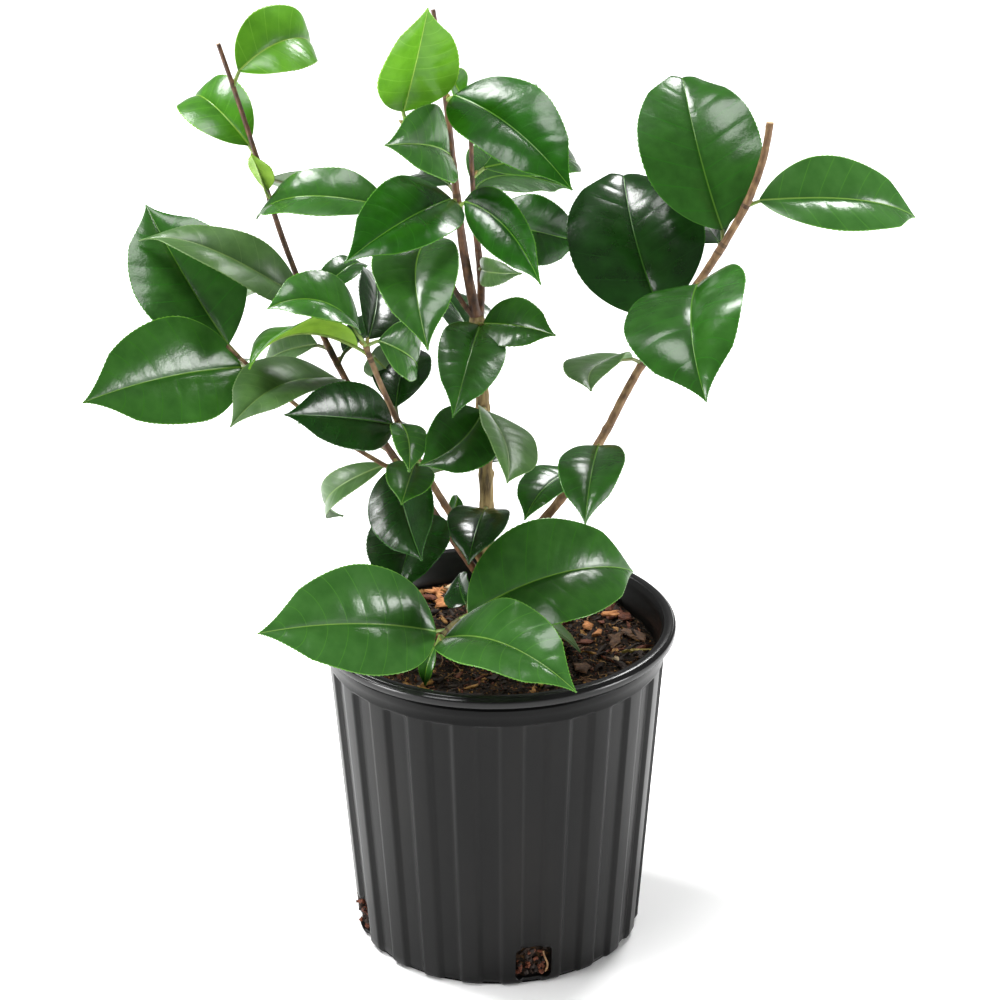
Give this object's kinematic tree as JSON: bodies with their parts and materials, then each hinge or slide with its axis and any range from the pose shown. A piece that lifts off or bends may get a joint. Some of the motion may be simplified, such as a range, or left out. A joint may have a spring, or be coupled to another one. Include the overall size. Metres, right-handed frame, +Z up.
{
  "type": "camellia shrub in nursery pot",
  "caption": "Young glossy-leaved camellia shrub with a slim leaning trunk and forked boughs, growing in a round ribbed nursery pot filled with bark mix.",
  "frame": {"origin": "centre of the pot's flat underside", "axes": "+Z up along the trunk, +X to the right and +Y away from someone who faces the side in the picture"},
  "size_m": [0.3641, 0.1888, 0.4485],
  "materials": {
    "pot_plastic": "satin black",
    "potting_mix": "loose bark chips",
    "bark": "thin brown bark",
    "leaves": "glossy leaf"
  },
  "bodies": {
    "root": {"pot": "pot_plastic", "potting_mix": "potting_mix", "trunk": "bark", "leader_left": "bark", "leader_right": "bark", "centre_twig": "bark", "top_twig": "bark", "bough_tall_left": "bark", "bough_tall_left_middle": "bark", "bough_inner_left": "bark", "bough_low_left": "bark", "bough_right": "bark", "bough_right_upper": "bark", "shoot_front": "bark", "leaves_left_top": "leaves", "leaves_left_shoulder": "leaves", "leaves_left_far": "leaves", "leaves_left_inner": "leaves", "leaves_left_low": "leaves", "leaves_left_foot": "leaves", "bud_left": "leaves", "leaves_crown_top": "leaves", "leaves_crown_upper": "leaves", "leaves_crown_right": "leaves", "leaf_fork_right": "leaves", "leaves_crown_centre": "leaves", "leaves_trunk_fork": "leaves", "leaves_trunk_middle": "leaves", "leaves_trunk_low": "leaves", "leaves_back_upper": "leaves", "leaves_back_low": "leaves", "leaves_trunk_foot": "leaves", "leaves_right_top": "leaves", "leaves_right_middle": "leaves", "leaves_right_low": "leaves", "leaves_front": "leaves", "leaf_front_small": "leaves"}
  },
  "joints": []
}
